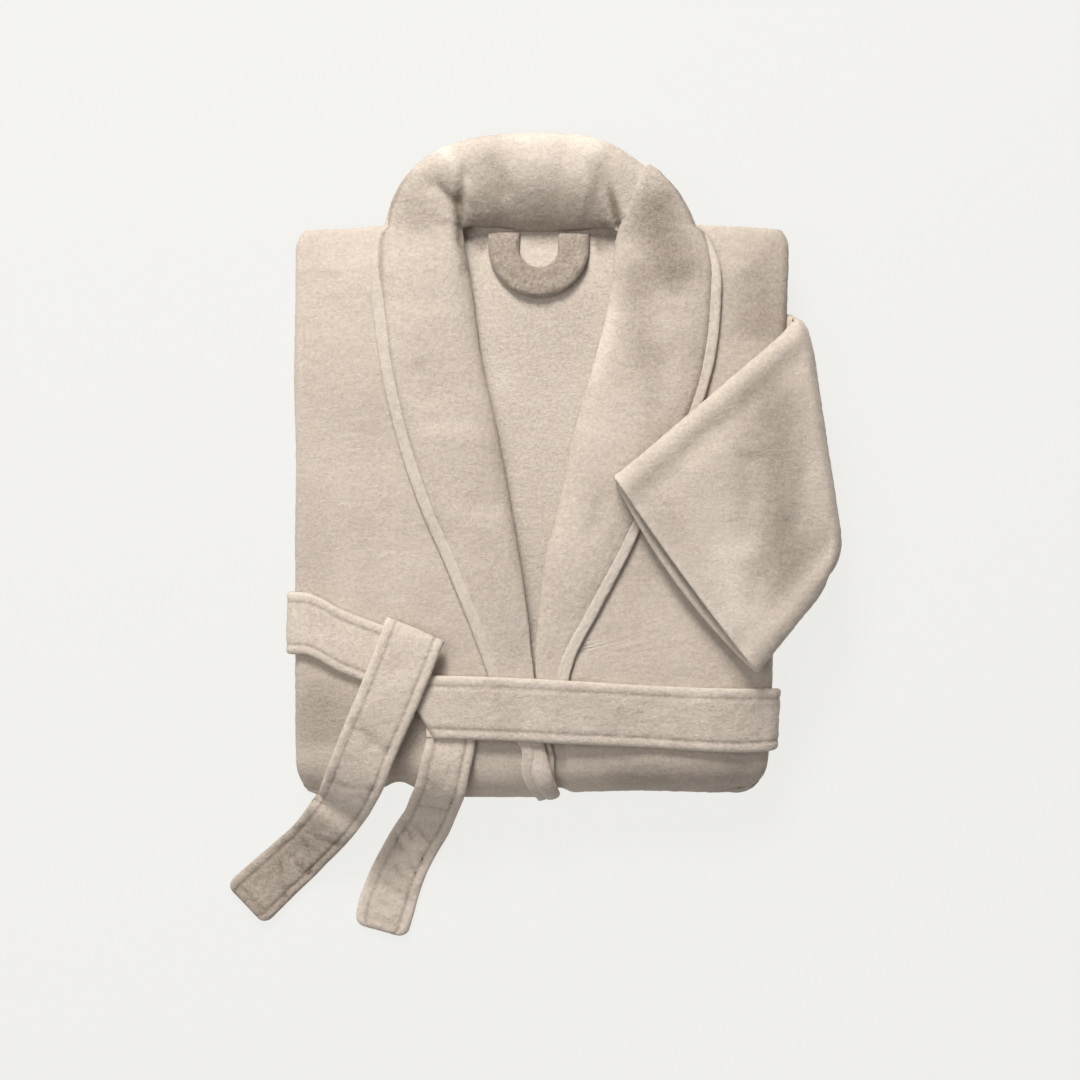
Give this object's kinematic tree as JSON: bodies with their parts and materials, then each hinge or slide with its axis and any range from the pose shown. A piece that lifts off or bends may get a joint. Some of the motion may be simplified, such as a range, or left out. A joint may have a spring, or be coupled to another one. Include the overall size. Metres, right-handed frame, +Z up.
{
  "type": "bathrobe",
  "caption": "Plush shawl-collar bathrobe, folded into a bundle and tied with its own belt, with a hanging loop at the neck.",
  "frame": {"origin": "centre of the folded bundle's footprint, on the surface it lies on", "axes": "+Z up from the surface, +Y towards the collar, +X towards the wearer's left"},
  "size_m": [0.5194, 0.683, 0.0927],
  "materials": {
    "plush": "short pile",
    "belt_plush": "short pile",
    "loop_plush": "short pile",
    "loop_tape": "woven tape"
  },
  "bodies": {
    "robe": {"back_panel": "plush", "front_panel_right": "plush", "front_panel_left": "plush", "collar_right_lapel": "plush", "collar_left_lapel": "plush", "collar_back_neck": "plush", "collar_edge_band_right": "plush", "collar_edge_band_left": "plush", "sleeve_left_upper": "plush", "sleeve_right": "plush", "cuff_right": "plush", "belt": "belt_plush", "belt_knot": "belt_plush", "belt_loop_right": "loop_tape", "belt_loop_left": "loop_tape", "pocket_right": "plush", "pocket_left": "plush"},
    "folded_sleeve": {"sleeve_left_forearm": "plush", "cuff_left": "plush"},
    "loop": {"hanging_loop": "loop_plush"},
    "long_tail": {"belt_tail_long": "belt_plush"},
    "short_tail": {"belt_tail_short": "belt_plush"}
  },
  "joints": [
    {"name": "left_sleeve_fold", "type": "hinge", "parent": "robe", "child": "folded_sleeve", "pos_m": [0.23881, 0.07164, 0.0594], "axis": [-0.1507, 0.9886, 0], "range_deg": [0, 180]},
    {"name": "loop_lift", "type": "hinge", "parent": "robe", "child": "loop", "pos_m": [0.00411, 0.25439, 0.0615], "axis": [-1, 0, 0], "range_deg": [0, 85]},
    {"name": "long_tail_lift", "type": "hinge", "parent": "robe", "child": "long_tail", "pos_m": [-0.10039, -0.08211, 0.0813], "axis": [-0.9608, 0.2772, 0], "range_deg": [0, 120]},
    {"name": "short_tail_lift", "type": "hinge", "parent": "robe", "child": "short_tail", "pos_m": [-0.07039, -0.17761, 0.0695], "axis": [-1, 0, 0], "range_deg": [0, 80]}
  ]
}
